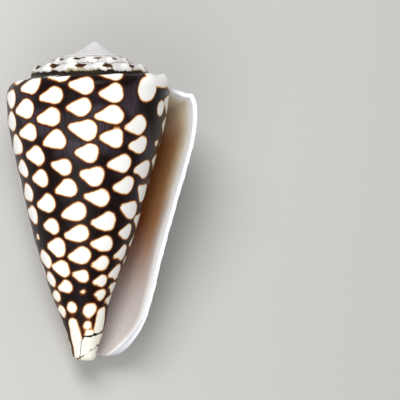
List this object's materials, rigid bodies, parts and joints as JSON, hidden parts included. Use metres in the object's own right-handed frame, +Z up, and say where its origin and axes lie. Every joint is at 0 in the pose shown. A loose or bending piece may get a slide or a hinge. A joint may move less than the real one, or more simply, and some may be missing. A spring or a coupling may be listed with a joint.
{
  "type": "cone shell",
  "caption": "Sea snail shell in the form of a cone, with a low stepped and knobbed spire, a tapering body whorl and a long narrow mouth behind a thin outer lip.",
  "frame": {"origin": "on the floor, at the centre of the footprint of the shell as it lies on its back", "axes": "+Y towards the tip of the spire, along the lying shell; +X towards the outer lip; +Z up, the way the mouth faces"},
  "size_m": [0.0532, 0.0876, 0.0503],
  "materials": {
    "shell": "polished, near-black brown with a network of white rounded triangles, brown inside"
  },
  "bodies": {
    "root": {"shell": "shell"}
  },
  "joints": []
}
